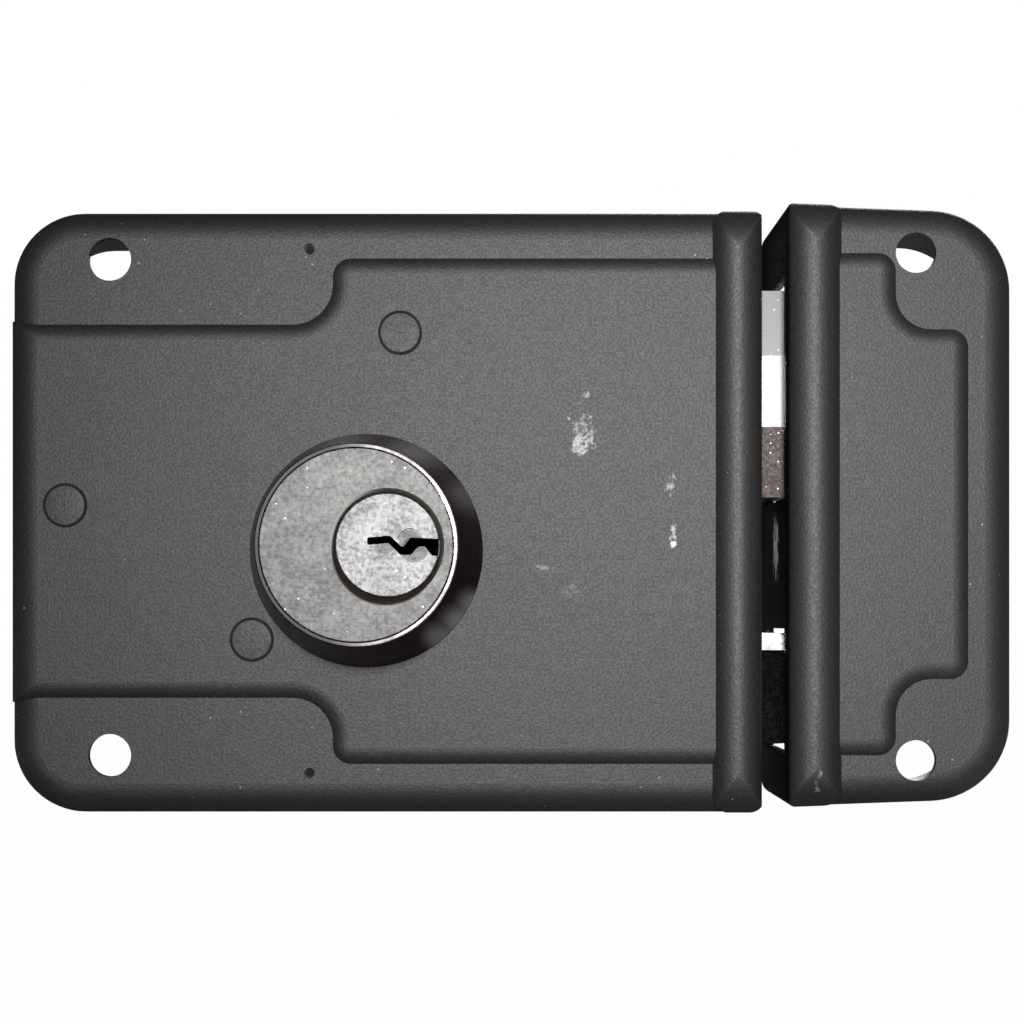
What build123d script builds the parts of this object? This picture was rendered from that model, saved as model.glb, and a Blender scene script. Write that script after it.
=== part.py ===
from build123d import *
import os
from dataclasses import dataclass
from math import asin, cos, degrees, pi, radians, sin, sqrt

# Surface-mounted gate lock. X runs along the bolts, towards the strike, Z is up and
# the front faces -Y. The mounting plane is Y = 0 and the origin is the key axis on it.
# "Front" values are distances in front of the mounting plane, in millimetres.

# Pressed sheet of the case and the strike
sheet = 1.2
edge_round = 4.0
flange_front = 23.2
plateau_front = 24.2
rib_front = 26.0
step_round = 2.7
wall_corner = 1.7
rib_corner = 2.6

# Case
case_edge = 47.1
case_width = 97.0
case_height = 78.0
case_centre = 5.1
case_corner = 9.4
case_rib = 3.2
case_rib_end = 5.5
case_wide_half = 32.5
case_waist_half = 24.0
case_step = 55.2
case_concave = 5.2
case_convex = 2.2
case_screw_inset = 13.1
case_screw_spacing = 63.8
case_screw_lift = 0.5
screw_hole = 2.75
pip_radius = 0.7
pip_depth = 0.8
pip_spacing = 67.4
pip_inset = 58.2

# Strike
gap = 3.1
strike_width = 29.6
strike_height = 78.4
strike_end_height = 76.3
strike_lift = 0.9
strike_corner = 10.6
strike_rib = 3.6
strike_rib_end = 5.5
strike_wide_half = 32.3
strike_waist_half = 22.5
strike_step = 14.1
strike_waist_end = 23.4
strike_concave = 4.6
strike_screw_inset = 12.9
strike_screw_lift = -0.3
strike_screw_spacing = 65.3
strike_hole = 2.6

# Posts riveted into the cover, named by where they stand
post_upper_at = (0.6, 27.9)
post_lower_at = (-18.4, -11.4)
post_side_at = (-42.3, 5.8)
post_collar = 3.4
post_shank = 2.6
post_neck = 2.0
rivet_head = 2.8
rivet_seat = 0.3
rivet_proud = 0.15
rivet_round = 0.2

# Back plate and its screws
plate = 1.5
plate_clearance = 0.2
plate_step = 65.0
plate_waist_half = 27.0
drive_hole = 9.0
thread_radius = 1.5
screw_head = 2.9
screw_length = 6.0

# Cylinder: rose, barrel, nut and pins
cylinder_offset = 3.7
barrel_front = 43.2
barrel_rear = 14.0
barrel_radius = 11.0
barrel_lip = 11.55
lip_length = 3.0
rose_base = 14.9
rose_top = 12.1
rose_set_back = 0.15
rose_clearance = 0.1
nut_radius = 14.4
nut_length = 3.4
nut_notch = 3.0
nut_notch_depth = 1.2
plug_radius = 6.0
plug_lip = 6.2
plug_lip_length = 1.2
plug_set_back = 0.25
plug_mouth = 0.5
running = 0.05
keyway_floor = 16.0
keyway_round = 0.25
keyway_relief = 0.5
chamber_count = 5
chamber_pitch = 3.6
chamber_first = 38.5
chamber_radius = 1.45
pin_radius = 1.4
key_pin_reach = 5.7
key_pin_tip = 2.4
key_pin_cone = 1.0
driver_end = 6.15
driver_length = 4.0
chamber_cap = 0.9
pin_wire = 0.3
pin_spring_radius = 1.05
pin_spring_turns = 4

# Cam on the plug's rear spigot
spigot_radius = 3.2
spigot_end = 8.2
clip_front = 13.55
clip_thickness = 0.9
clip_groove = 2.6
clip_radius = 7.2
clip_gap = 4.4
cam_hub = 5.4
cam_hub_front = 12.4
cam_back = 4.7
cam_arm_front = 10.7
cam_reach = 11.0
cam_nose = 2.0
cam_arm_half = 1.2
cam_pin = 0.8
drive_slot_length = 9.0
drive_slot_width = 2.6
drive_slot_depth = 3.0

# Deadbolt
bolt_back = 4.0
bolt_front = 14.0
bolt_throw = 15.0
bolt_bottom = 7.5
bolt_top = 35.1
bolt_rear = 29.0
facet_drop = 0.8
facet_upper = 8.8
facet_lower = 9.4
bolt_nose = 0.6
tail_thickness = 3.0
tail_left = -22.0
tail_bottom = 6.0
tail_top = 33.0
tail_tongue = 8.5
notch_clearance = 0.35
notch_mouth = 2.5
slot_clearance = 0.3
guide_stud_x = -14.0
stud_radius = 2.5
stud_head = 3.6
bolt_rivet = 1.6
bolt_rivet_x = 33.5
bolt_rivet_inset = 7.0
detent_x = 9.0
detent_depth = 0.8
detent_half = 1.4

# Detent spring over the deadbolt's tail
strip = 0.5
strip_width = 6.0
strip_rise = 3.2
strip_bend = 2.0
detent_engage = 0.3
detent_flank = 1.7
detent_lift = 1.25
detent_bend = 0.6
detent_point = 0.4
detent_tail = 5.0
detent_tail_lift = 2.0
bracket_sheet = 1.6
bracket_left = -17.0
bracket_width = 12.0
bracket_foot = 1.6
small_rivet = 0.8
small_rivet_head = 1.3
small_rivet_head_length = 0.5

# Latch
latch_travel = 10.0
latch_bottom = -25.6
latch_top = -10.6
latch_rear = 31.0
latch_land = 2.3
bevel_start = 46.0
bevel_tip = 5.5
stem_radius = 2.5
stem_socket = 6.5
stem_flat_height = 6.0
stem_flat_right = 4.0
guide_wall = 2.0
guide_x = 5.5
guide_margin = 2.2
guide_foot = 7.6
guide_rivet_edge = 3.4
guide_rivet_pitch = 7.2
guide_bore_clearance = 0.08
latch_stud_x = -14.0
latch_stud = 1.5
latch_stud_head = 2.6
latch_wire = 0.9
latch_spring_radius = 3.9
latch_spring_turns = 9.5

# Latch lever on the side post
lever_back = 4.9
lever_front = 6.9
lever_reach = 24.6
lever_swing = 24.0
lever_pin = 1.6
lever_hub = 5.0
lever_end = 3.0
lever_tip = 1.8
lever_tip_at = (-11.0, 5.0)
lever_pin_clearance = 0.25
pad_margin = 3.1

window_clearance = 0.5
strike_window_clearance = 0.6
strike_window_front = 21.4

# Sizes that follow
case_half = case_height / 2
strike_centre = case_centre + strike_lift
strike_edge = case_edge + gap
inner_front = plateau_front - sheet
bolt_middle = (bolt_back + bolt_front) / 2
tail_back = bolt_middle - tail_thickness / 2
tail_front = bolt_middle + tail_thickness / 2
latch_middle = (latch_bottom + latch_top) / 2
cam_angle = degrees(asin(bolt_throw / 2 / cam_reach))
plug_face = barrel_front - plug_set_back
pin_heights = [chamber_first - chamber_pitch * count for count in range(chamber_count)]
case_screw_x = case_edge - case_width + case_screw_inset
case_screw_z = case_centre + case_screw_lift
strike_screw_x = strike_edge + strike_width - strike_screw_inset
guide_top = latch_middle + stem_radius + guide_margin
guide_middle = (latch_bottom + guide_top) / 2
guide_end = guide_x + guide_wall + guide_foot
strip_anchor = tail_top + strip_rise
strip_dip = tail_top - detent_engage + strip / 2
bracket_middle = bracket_left + bracket_width / 2
bracket_bottom = tail_top + plate_clearance
lever_pin_x = post_side_at[0] + lever_reach * sin(radians(lever_swing))
lever_pin_z = post_side_at[1] - lever_reach * cos(radians(lever_swing))


def front_plane(front):
    """The plane parallel to the mounting plane, this far in front of it."""
    return Plane.XZ.offset(front)


def disc(at, radius, front):
    """A round face about a point (x, z), looking forward."""
    with BuildSketch(front_plane(front)) as face:
        with Locations(at):
            Circle(radius)
    return face.sketch


def panel(x_range, z_range, front):
    """A rectangular face between two x and two z values, looking forward."""
    with BuildSketch(front_plane(front)) as face:
        with Locations((sum(x_range) / 2, sum(z_range) / 2)):
            Rectangle(x_range[1] - x_range[0], z_range[1] - z_range[0])
    return face.sketch


def arm(start, start_radius, end, end_radius, front):
    """A flat arm with two round ends joined by straight sides."""
    with BuildSketch(front_plane(front)) as face:
        with Locations(start):
            Circle(start_radius)
        with Locations(end):
            Circle(end_radius)
        make_hull()
    return face.sketch


def slot(x_range, z, half_height, front):
    """A level slot with round ends, its length measured over them."""
    with BuildSketch(front_plane(front)) as face:
        with Locations((sum(x_range) / 2, z)):
            SlotOverall(x_range[1] - x_range[0], 2 * half_height)
    return face.sketch


def turned(at, steps):
    """A turned piece on an axis along Y, from steps of (radius, back, front)."""
    with BuildPart() as piece:
        for radius, back, front in steps:
            extrude(disc(at, radius, back), amount=front - back)
    return piece.part


def coil(centre, direction, radius, wire, length, turns):
    """A round-wire spring along X, each quarter turn two arcs with one tangent."""
    pitch = (length - wire) / turns
    quarters = round(4 * turns)

    def point(quarter):
        angle = quarter * pi / 2
        along = direction * (wire / 2 + pitch * quarter / 4)
        return centre + Vector(along, radius * cos(angle), radius * sin(angle))

    def heading(quarter):
        angle = quarter * pi / 2
        rise = direction * pitch / (2 * pi)
        return Vector(rise, -radius * sin(angle), radius * cos(angle)).normalized()

    with BuildPart() as spring:
        with BuildLine() as path:
            for quarter in range(quarters):
                start, end = point(quarter), point(quarter + 1)
                leave, arrive = heading(quarter), heading(quarter + 1)
                chord = end - start
                along = chord.dot(leave + arrive)
                turn = 2 * (1 - leave.dot(arrive))
                reach = (sqrt(along**2 + turn * chord.dot(chord)) - along) / turn
                join = (start + leave * reach + end - arrive * reach) / 2
                TangentArc(start, join, tangent=leave)
                TangentArc(join, end, tangent=(join - start - leave * reach) * 2)
        with BuildSketch(Plane(origin=point(0), z_dir=heading(0))):
            Circle(wire / 2)
        sweep(path=path.wire())
    samples = [point(step / 8) for step in range(8 * quarters + 1)]
    apart = [
        (samples[first] - samples[second]).length - wire
        for first in range(len(samples))
        for second in range(first + 16, len(samples))
    ]
    print(f"coil of {turns} turns: least gap to itself {min(apart):.2f} mm")
    return spring.part


@dataclass
class Pressing:
    """A pressed box with a rib along one edge; u is measured from that edge."""

    edge: float
    side: int
    centre: float
    width: float
    height: float
    end_height: float
    corner: float
    rib: float
    rib_end: float
    wide_half: float
    waist_half: float
    step: float
    waist_end: float
    concave: float
    convex: float

    def x(self, u):
        return self.edge - self.side * u

    def points(self, pairs):
        return [(self.x(u), self.centre + v) for u, v in pairs]


case_pressing = Pressing(
    edge=case_edge,
    side=1,
    centre=case_centre,
    width=case_width,
    height=case_height,
    end_height=case_height,
    corner=case_corner,
    rib=case_rib,
    rib_end=case_rib_end,
    wide_half=case_wide_half,
    waist_half=case_waist_half,
    step=case_step,
    waist_end=case_width + case_corner,
    concave=case_concave,
    convex=case_convex,
)
strike_pressing = Pressing(
    edge=strike_edge,
    side=-1,
    centre=strike_centre,
    width=strike_width,
    height=strike_height,
    end_height=strike_end_height,
    corner=strike_corner,
    rib=strike_rib,
    rib_end=strike_rib_end,
    wide_half=strike_wide_half,
    waist_half=strike_waist_half,
    step=strike_step,
    waist_end=strike_waist_end,
    concave=strike_concave,
    convex=case_convex,
)


def outline(shape, start, end, near_corner, far_corner, inset):
    """The box's tapering outline from u = start to u = end."""
    taper = (shape.height - shape.end_height) / 2 / shape.width
    near = shape.height / 2 - taper * start - inset
    far = shape.height / 2 - taper * (end + inset) - inset
    corners = [(start, -near), (start, near), (end, far), (end, -far)]
    rounds = [near_corner, near_corner, far_corner, far_corner]
    with BuildSketch(Plane.XZ) as face:
        with BuildLine():
            FilletPolyline(*shape.points(corners), radius=rounds, close=True)
        make_face()
    return face.sketch


def rounded_block(shape, front, inset):
    """The box without its rib, rounded over its front edges."""
    with BuildPart() as block:
        far_wall = shape.width - inset
        extrude(outline(shape, shape.rib, far_wall, 0, shape.corner - inset, inset), amount=front)
        front_edges = block.edges().group_by(Axis.Y)[0]
        rib_x = shape.x(shape.rib)
        fillet(
            front_edges.filter_by(lambda edge: abs(edge.center().X - rib_x) > sheet / 2),
            radius=edge_round - inset,
        )
    return block.part


def raised_plateau(shape, inset):
    """The raised middle, whose round shoulders run down into the flange."""
    shoulder = step_round - inset
    rise = plateau_front - flange_front
    hidden = step_round - sqrt(step_round**2 - (step_round - rise) ** 2) - inset
    wide = shape.wide_half + hidden
    waist = shape.waist_half + hidden
    step = shape.step + hidden
    end = shape.waist_end + hidden
    convex = max(shape.convex + hidden, shoulder) + sheet / 10
    concave = shape.concave - hidden
    corners = [
        (shape.rib, -wide),
        (shape.rib, wide),
        (step, wide),
        (step, waist),
        (end, waist),
        (end, -waist),
        (step, -waist),
        (step, -wide),
    ]
    with BuildPart() as plateau:
        with BuildSketch(Plane.XZ):
            with BuildLine():
                FilletPolyline(
                    *shape.points(corners),
                    radius=[0, 0, convex, concave, convex, convex, concave, convex],
                    close=True,
                )
            make_face()
        extrude(amount=plateau_front - inset)
        fillet(plateau.edges().group_by(Axis.Y)[0], radius=shoulder)
        add(rounded_block(shape, plateau_front - inset, inset), mode=Mode.INTERSECT)
    return plateau.part


def rolled_ends(shape, inset):
    """The room within which the rib rolls back at its two ends."""
    with BuildPart() as room:
        extrude(outline(shape, 0, shape.width - inset, 0, 0, inset), amount=rib_front - inset)
        front_edges = room.edges().group_by(Axis.Y)[0]
        fillet(
            front_edges.filter_by(lambda edge: abs(edge.center().Z - shape.centre) > shape.corner),
            radius=shape.rib_end - inset,
        )
    return room.part


def edge_rib(shape, inset):
    """The half-round rib and the wall below it."""
    crest_x = shape.x(shape.rib)
    crest_y = -(rib_front - shape.rib)
    corners = (wall_corner - inset, rib_corner - inset)
    rib_outline = outline(shape, inset, 2 * shape.rib - inset, *corners, inset)
    with BuildPart() as rib:
        with BuildSketch(Plane.XY.offset(shape.centre - shape.height / 2)):
            with Locations((crest_x, crest_y)):
                Circle(shape.rib - inset)
            with Locations((crest_x, crest_y / 2)):
                Rectangle(2 * (shape.rib - inset), -crest_y)
        extrude(amount=shape.height)
        add(rolled_ends(shape, inset), mode=Mode.INTERSECT)
        add(extrude(rib_outline, amount=rib_front, mode=Mode.PRIVATE), mode=Mode.INTERSECT)
    return rib.part


def pressed_form(shape, inset):
    """The whole outer form, or with an inset of one sheet the hollow inside it."""
    with BuildPart() as form:
        add(rounded_block(shape, flange_front - inset, inset))
        add(raised_plateau(shape, inset))
        add(edge_rib(shape, inset))
    return form.part


def finish(builder, name):
    """Label a piece and write it."""
    builder.part.label = name
    export_step(builder.part, f"parts/{name}.step")


os.makedirs("parts", exist_ok=True)
posts = (post_upper_at, post_lower_at, post_side_at)
barrel_at = (-cylinder_offset, 0)

# Case cover
with BuildPart() as case_cover:
    add(pressed_form(case_pressing, 0))
    add(pressed_form(case_pressing, sheet), mode=Mode.SUBTRACT)
    with BuildSketch(front_plane(flange_front)):
        with Locations((case_screw_x, case_screw_z)):
            with GridLocations(0, case_screw_spacing, 1, 2):
                Circle(screw_hole)
    extrude(amount=-2 * sheet, mode=Mode.SUBTRACT)
    with BuildSketch(front_plane(flange_front)):
        with Locations((case_edge - pip_inset, case_centre)):
            with GridLocations(0, pip_spacing, 1, 2):
                Circle(pip_radius)
    extrude(amount=-pip_depth, mode=Mode.SUBTRACT)
    extrude(disc(barrel_at, barrel_radius + rose_clearance, inner_front), amount=sheet, mode=Mode.SUBTRACT)
    for at in posts:
        extrude(disc(at, post_neck, inner_front), amount=sheet, mode=Mode.SUBTRACT)
        extrude(
            disc(at, rivet_head + running, plateau_front - rivet_seat),
            amount=rivet_seat,
            mode=Mode.SUBTRACT,
        )
    for bottom, top in ((bolt_bottom, bolt_top), (latch_bottom, latch_top)):
        opening = panel(
            (case_edge - 2 * sheet, case_edge + sheet),
            (bottom - window_clearance, top + window_clearance),
            bolt_back - window_clearance,
        )
        extrude(opening, amount=bolt_front - bolt_back + 2 * window_clearance, mode=Mode.SUBTRACT)
finish(case_cover, "case_cover")

# Strike, with a window for each bolt in the wall that faces the case
with BuildPart() as strike_cover:
    add(pressed_form(strike_pressing, 0))
    add(pressed_form(strike_pressing, sheet), mode=Mode.SUBTRACT)
    with BuildSketch(front_plane(flange_front)):
        with Locations((strike_screw_x, strike_centre + strike_screw_lift)):
            with GridLocations(0, strike_screw_spacing, 1, 2):
                Circle(strike_hole)
    extrude(amount=-2 * sheet, mode=Mode.SUBTRACT)
    for bottom, top in ((bolt_bottom, bolt_top), (latch_bottom, latch_top)):
        opening = panel(
            (strike_edge - sheet, strike_edge + 2 * sheet),
            (bottom - strike_window_clearance, top + strike_window_clearance),
            bolt_back - strike_window_clearance,
        )
        depth = strike_window_front - bolt_back + strike_window_clearance
        extrude(opening, amount=depth, mode=Mode.SUBTRACT)
finish(strike_cover, "strike_cover")

# Posts: a flush rivet head outside, a neck through the cover, then collar and shank
post_collar_ends = {
    "post_upper": (post_upper_at, tail_front + slot_clearance + running),
    "post_lower": (post_lower_at, inner_front - 2 * sheet),
    "post_side": (post_side_at, lever_front + plate_clearance),
}
for name, (at, collar_end) in post_collar_ends.items():
    with BuildPart() as post:
        shank = stud_radius if name == "post_upper" else post_shank
        add(
            turned(
                at,
                [
                    (shank, plate, collar_end),
                    (post_collar, collar_end, inner_front),
                    (post_neck, inner_front, plateau_front - rivet_seat),
                    (rivet_head, plateau_front - rivet_seat, plateau_front + rivet_proud),
                ],
            )
        )
        fillet(post.faces().sort_by(Axis.Y)[0].edges(), radius=rivet_round)
        extrude(disc(at, thread_radius, plate), amount=screw_length, mode=Mode.SUBTRACT)
    finish(post, name)

# Sleeves that space the deadbolt's tail and the lever off the back plate
with BuildPart() as bolt_spacer:
    add(turned(post_upper_at, [(stud_head, plate, tail_back - slot_clearance)]))
    extrude(disc(post_upper_at, stud_radius + running, plate), amount=tail_back, mode=Mode.SUBTRACT)
finish(bolt_spacer, "bolt_spacer")

with BuildPart() as lever_spacer:
    add(turned(post_side_at, [(stud_head, plate, lever_back - plate_clearance)]))
    extrude(disc(post_side_at, post_shank + running, plate), amount=lever_back, mode=Mode.SUBTRACT)
finish(lever_spacer, "lever_spacer")

# Studs riveted into the back plate, flush behind, that guide the two sliding tails
stud_sizes = {
    "bolt_guide_stud": ((guide_stud_x, post_upper_at[1]), stud_radius, stud_head),
    "latch_guide_stud": ((latch_stud_x, latch_middle), latch_stud, latch_stud_head),
}
for name, (at, radius, head) in stud_sizes.items():
    with BuildPart() as stud:
        add(
            turned(
                at,
                [
                    (thread_radius, 0, plate),
                    (head, plate, tail_back - slot_clearance),
                    (radius, tail_back - slot_clearance, tail_front + slot_clearance),
                    (head, tail_front + slot_clearance, tail_front + slot_clearance + sheet),
                ],
            )
        )
    finish(stud, name)

# Back plate, set inside the case's walls and open behind the mounting screws
plate_half = case_half - sheet - plate_clearance
plate_right = case_edge - sheet - plate_clearance
plate_left = case_edge - case_width + sheet + plate_clearance
plate_rivets = [
    (guide_end - guide_rivet_edge, guide_middle - guide_rivet_pitch / 2),
    (guide_end - guide_rivet_edge, guide_middle + guide_rivet_pitch / 2),
    (bracket_middle, bracket_bottom + bracket_foot),
]
with BuildPart() as back_plate:
    wide = panel(
        (case_edge - plate_step, plate_right),
        (case_centre - plate_half, case_centre + plate_half),
        0,
    )
    waist = panel(
        (plate_left, case_edge - plate_step),
        (case_centre - plate_waist_half, case_centre + plate_waist_half),
        0,
    )
    extrude(wide, amount=plate)
    extrude(waist, amount=plate)
    fillet(back_plate.edges().filter_by(Axis.Y), radius=sheet)
    extrude(disc((0, 0), drive_hole, 0), amount=plate, mode=Mode.SUBTRACT)
    for at, _, _ in stud_sizes.values():
        extrude(disc(at, thread_radius, 0), amount=plate, mode=Mode.SUBTRACT)
    for at in plate_rivets:
        extrude(disc(at, small_rivet, 0), amount=plate, mode=Mode.SUBTRACT)
    with Locations(*[Location(Plane(origin=(at[0], 0, at[1]), z_dir=(0, 1, 0))) for at in posts]):
        CounterSinkHole(
            radius=thread_radius, counter_sink_radius=screw_head, depth=plate
        )
finish(back_plate, "back_plate")

# Countersunk screws that hold the back plate on the posts
with BuildPart() as back_plate_screws:
    for at in posts:
        with Locations(Location(Plane(origin=(at[0], 0, at[1]), z_dir=(0, -1, 0)))):
            Cone(
                screw_head,
                thread_radius,
                screw_head - thread_radius,
                align=(Align.CENTER, Align.CENTER, Align.MIN),
            )
            Cylinder(
                thread_radius,
                screw_length,
                align=(Align.CENTER, Align.CENTER, Align.MIN),
            )
    for at in posts:
        for turn in (0, 90):
            with BuildSketch(front_plane(0)):
                with Locations(at):
                    Rectangle(screw_head, sheet / 2, rotation=turn)
            extrude(amount=sheet, mode=Mode.SUBTRACT)
finish(back_plate_screws, "back_plate_screws")

# Tapered rose, and the barrel that hangs in it by a lip
barrel_axis = Axis((-cylinder_offset, 0, 0), (0, 1, 0))
rose_front = barrel_front - rose_set_back
with BuildPart() as cylinder_rose:
    with BuildSketch(Plane.XY):
        with BuildLine():
            inside = barrel_radius + rose_clearance
            rebate = barrel_lip + rose_clearance
            profile = [
                (inside, plateau_front),
                (rose_base, plateau_front),
                (rose_base, plateau_front + sheet / 2),
                (rose_top, rose_front),
                (rebate, rose_front),
                (rebate, barrel_front - lip_length),
                (inside, barrel_front - lip_length),
            ]
            Polyline(*[(radius - cylinder_offset, -front) for radius, front in profile], close=True)
        make_face()
    revolve(axis=barrel_axis)
    rim = cylinder_rose.edges().filter_by(GeomType.CIRCLE).group_by(Axis.Y)[0].sort_by(SortBy.RADIUS)
    fillet(rim[-1], radius=rose_set_back)
finish(cylinder_rose, "cylinder_rose")

with BuildPart() as cylinder_barrel:
    add(
        turned(
            barrel_at,
            [
                (barrel_radius, barrel_rear, barrel_front - lip_length),
                (barrel_lip, barrel_front - lip_length, barrel_front),
            ],
        )
    )
    fillet(cylinder_barrel.faces().sort_by(Axis.Y)[0].edges(), radius=rose_set_back)
    bore_length = barrel_front - barrel_rear
    extrude(disc((0, 0), plug_radius + running, barrel_rear), amount=bore_length, mode=Mode.SUBTRACT)
    lip_seat = plug_face - plug_lip_length - running
    extrude(disc((0, 0), plug_lip + running, lip_seat), amount=bore_length, mode=Mode.SUBTRACT)
    mouth = cylinder_barrel.faces().sort_by(Axis.Y)[0].edges().sort_by(SortBy.RADIUS)[0]
    chamfer(mouth, length=plug_mouth)
    for height in pin_heights:
        with BuildSketch(Plane.YZ.offset(-barrel_radius - cylinder_offset)):
            with Locations((-height, 0)):
                Circle(chamber_radius)
        extrude(amount=barrel_radius + cylinder_offset - plug_radius + sheet, mode=Mode.SUBTRACT)
finish(cylinder_barrel, "cylinder_barrel")

with BuildPart() as cylinder_nut:
    add(turned(barrel_at, [(nut_radius, inner_front - nut_length, inner_front)]))
    extrude(
        disc(barrel_at, barrel_radius + running, inner_front - nut_length),
        amount=nut_length,
        mode=Mode.SUBTRACT,
    )
    with BuildSketch(front_plane(inner_front - nut_length)):
        with Locations(barrel_at):
            with PolarLocations(nut_radius, 4, start_angle=45):
                Rectangle(2 * nut_notch_depth, nut_notch)
    extrude(amount=nut_length, mode=Mode.SUBTRACT)
finish(cylinder_nut, "cylinder_nut")

# Pin stacks, one behind the other along the plug, standing at the shear line
cap_inner = barrel_radius + cylinder_offset - chamber_cap - sheet / 6
spring_start = driver_end + driver_length + running
spring_length = cap_inner - running - spring_start
with BuildPart() as chamber_caps:
    for height in pin_heights:
        with BuildSketch(Plane.YZ.offset(-cap_inner)):
            with Locations((-height, 0)):
                Circle(chamber_radius)
        extrude(amount=-chamber_cap)
finish(chamber_caps, "chamber_caps")

with BuildPart() as driver_pins:
    for height in pin_heights:
        with BuildSketch(Plane.YZ.offset(-driver_end)):
            with Locations((-height, 0)):
                Circle(pin_radius)
        extrude(amount=-driver_length)
finish(driver_pins, "driver_pins")

with BuildPart() as pin_springs:
    for height in pin_heights:
        start = Vector(-spring_start, -height, 0)
        add(coil(start, -1, pin_spring_radius, pin_wire, spring_length, pin_spring_turns))
finish(pin_springs, "pin_springs")

with BuildPart() as key_pins:
    for height in pin_heights:
        with BuildSketch(Plane.XY):
            with BuildLine():
                Polyline(
                    (-key_pin_reach, -height),
                    (-key_pin_reach, -height - pin_radius),
                    (-key_pin_tip - key_pin_cone, -height - pin_radius),
                    (-key_pin_tip, -height - pin_radius / 3),
                    (-key_pin_tip, -height),
                    close=True,
                )
            make_face()
        revolve(axis=Axis((0, -height, 0), (1, 0, 0)))
finish(key_pins, "key_pins")

# Plug, with its keyway between two wards and open at the rim away from the pins
keyway_above = [(-2.4, 0.9), (0.3, 1.1), (1.8, -0.3), (2.7, 0.9), (7.0, 0.7)]
keyway_below = [
    (7.0, -1.6),
    (5.2, -1.2),
    (4.4, -0.15),
    (3.6, -0.2),
    (2.8, -1.15),
    (1.5, -1.15),
    (0.1, 0.25),
    (-2.4, 0.0),
]
keyway_reliefs = [((2.65, 0.6), 1.4), ((-0.3, -0.1), 1.2), ((3.2, -0.5), 1.65)]
with BuildPart() as plug:
    add(
        turned(
            (0, 0),
            [
                (spigot_radius, spigot_end, barrel_rear),
                (plug_radius, barrel_rear, plug_face - plug_lip_length),
                (plug_lip, plug_face - plug_lip_length, plug_face),
            ],
        )
    )
    chamfer(plug.faces().sort_by(Axis.Y)[0].edges(), length=rose_set_back)
    with BuildSketch(front_plane(keyway_floor)):
        with BuildLine():
            FilletPolyline(*keyway_above, *keyway_below, radius=keyway_round, close=True)
        make_face()
    extrude(amount=barrel_front - keyway_floor, mode=Mode.SUBTRACT)
    for at, radius in keyway_reliefs:
        extrude(disc(at, radius, plug_face - keyway_relief), amount=keyway_relief, mode=Mode.SUBTRACT)
    for height in pin_heights:
        with BuildSketch(Plane.YZ.offset(-plug_lip)):
            with Locations((-height, 0)):
                Circle(chamber_radius)
        extrude(amount=plug_lip - key_pin_tip + running, mode=Mode.SUBTRACT)
    groove_back = clip_front - clip_thickness - running
    with BuildSketch(front_plane(groove_back)):
        Circle(spigot_radius)
        Circle(clip_groove, mode=Mode.SUBTRACT)
    extrude(amount=clip_thickness + 2 * running, mode=Mode.SUBTRACT)
    pin_front = (cam_arm_front + cam_hub_front) / 2
    with BuildSketch(Plane.YZ.offset(-spigot_radius)):
        with Locations((-pin_front, 0)):
            Circle(cam_pin)
    extrude(amount=2 * spigot_radius, mode=Mode.SUBTRACT)
finish(plug, "plug")

with BuildPart() as plug_clip:
    clip_back = clip_front - clip_thickness
    extrude(disc((0, 0), clip_radius, clip_back), amount=clip_thickness)
    extrude(disc((0, 0), clip_groove, clip_back), amount=clip_thickness, mode=Mode.SUBTRACT)
    mouth_face = panel((0, clip_radius + sheet), (-clip_gap / 2, clip_gap / 2), clip_back)
    extrude(mouth_face, amount=clip_thickness, mode=Mode.SUBTRACT)
finish(plug_clip, "plug_clip")

# Cam whose round nose works in the deadbolt tail's notch
nose_at = (cam_reach * sin(radians(cam_angle)), cam_reach * cos(radians(cam_angle)))
with BuildPart() as drive_cam:
    extrude(disc((0, 0), cam_hub, cam_back), amount=cam_hub_front - cam_back)
    extrude(disc(nose_at, cam_nose, cam_back), amount=cam_arm_front - cam_back)
    extrude(arm((0, 0), cam_arm_half, nose_at, cam_arm_half, cam_back), amount=cam_arm_front - cam_back)
    extrude(disc((0, 0), spigot_radius, spigot_end), amount=cam_hub_front, mode=Mode.SUBTRACT)
    for turn in (0, 90):
        with BuildSketch(front_plane(cam_back)):
            Rectangle(drive_slot_length, drive_slot_width, rotation=turn)
        extrude(amount=drive_slot_depth, mode=Mode.SUBTRACT)
    with BuildSketch(Plane.YZ.offset(-cam_hub)):
        with Locations((-pin_front, 0)):
            Circle(cam_pin)
    extrude(amount=2 * cam_hub, mode=Mode.SUBTRACT)
finish(drive_cam, "drive_cam")

with BuildPart() as cam_cross_pin:
    with BuildSketch(Plane.YZ.offset(rose_set_back - cam_hub)):
        with Locations((-pin_front, 0)):
            Circle(cam_pin)
    extrude(amount=2 * (cam_hub - rose_set_back))
finish(cam_cross_pin, "cam_cross_pin")

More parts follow.
